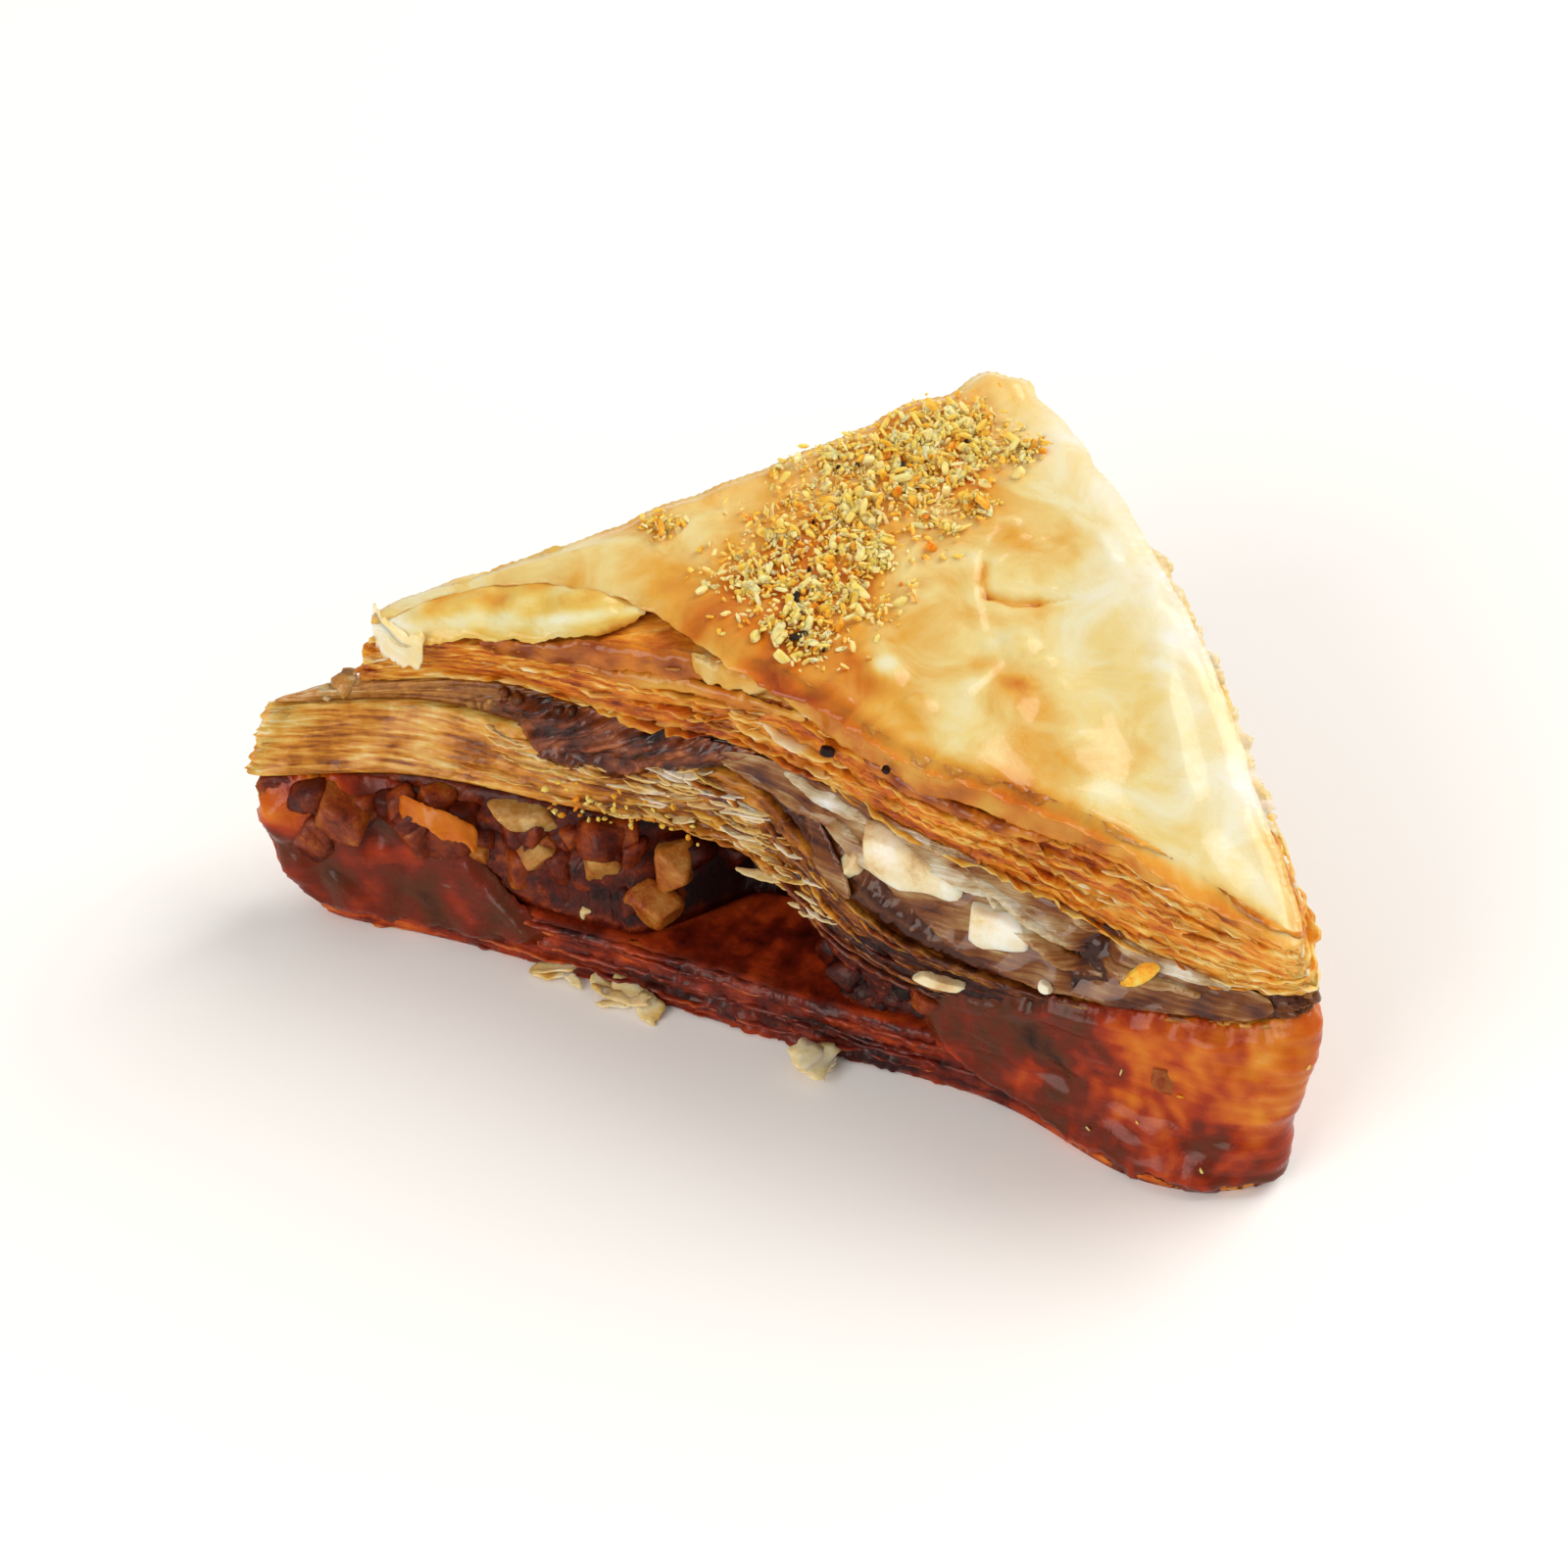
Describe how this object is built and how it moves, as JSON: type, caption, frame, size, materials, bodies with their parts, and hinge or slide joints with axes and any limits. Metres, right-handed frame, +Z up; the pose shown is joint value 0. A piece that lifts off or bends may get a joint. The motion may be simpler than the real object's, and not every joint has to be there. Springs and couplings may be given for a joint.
{
  "type": "baklava piece",
  "caption": "Triangular piece of baklava with syrup-soaked phyllo stacks, chopped nut fillings showing at the long cut face and ground nuts on a torn golden top sheet.",
  "frame": {"origin": "middle of the base, on the surface that the piece lies on", "axes": "+X along the long cut face, from its left corner to its right corner as seen from the front; +Y from the cut face towards the square corner behind; +Z up"},
  "size_m": [0.0812, 0.0462, 0.0328],
  "materials": {
    "soaked_phyllo": "sheets of phyllo soaked dark with syrup, wet and glossy",
    "syrup_nuts": "chopped nuts bound with dark syrup, glossy",
    "baked_phyllo": "thin baked sheets, beige to brown, moist",
    "pale_nuts": "pale chopped nuts in a brown paste, satin",
    "golden_phyllo": "crisp golden sheet brushed with butter, satin gloss",
    "ground_nuts": "ground nuts, yellow, moist with syrup"
  },
  "bodies": {
    "root": {"phyllo_bottom": "soaked_phyllo", "nuts_lower": "syrup_nuts", "phyllo_middle": "baked_phyllo", "nuts_upper": "pale_nuts", "phyllo_top": "golden_phyllo"}
  },
  "joints": []
}
